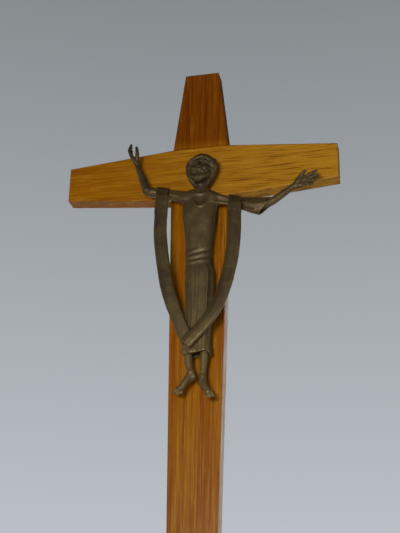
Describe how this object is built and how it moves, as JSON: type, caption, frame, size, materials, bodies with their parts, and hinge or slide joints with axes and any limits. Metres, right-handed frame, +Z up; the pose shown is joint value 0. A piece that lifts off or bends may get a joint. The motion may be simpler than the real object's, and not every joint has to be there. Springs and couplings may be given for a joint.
{
  "type": "processional cross",
  "caption": "Tapered wooden cross on a long flat shaft, half-lapped at the crossing, with a bronze robed figure and hanging stole on its front and a metal shoe on its foot.",
  "frame": {"origin": "middle of the flat bottom face of the metal shoe on the foot of the shaft", "axes": "+Z up the shaft; the figure and the boards' front face look towards -Y; +X is to the right as the front is seen"},
  "size_m": [0.35, 0.061, 1.83],
  "materials": {
    "oak": "honey-brown varnish over straight open grain, satin gloss",
    "plug_wood": "varnished end-grain plug",
    "bronze": "dark brown patinated cast bronze, slightly rubbed on the high places",
    "brass": "satin brass, slightly dulled",
    "steel": "zinc-plated screw steel"
  },
  "bodies": {
    "root": {"upright": "oak", "crossbar": "oak", "lap_screw_1": "steel", "lap_screw_2": "steel", "lap_screw_3": "steel", "lap_screw_4": "steel", "lap_plug_1": "plug_wood", "lap_plug_2": "plug_wood", "lap_plug_3": "plug_wood", "lap_plug_4": "plug_wood", "figure_washer_1": "brass", "figure_washer_2": "brass", "figure_washer_3": "brass", "figure_screw_1": "steel", "figure_screw_2": "steel", "figure_screw_3": "steel", "figure": "bronze", "stole": "bronze", "ferrule": "brass", "ferrule_pin": "brass"}
  },
  "joints": []
}
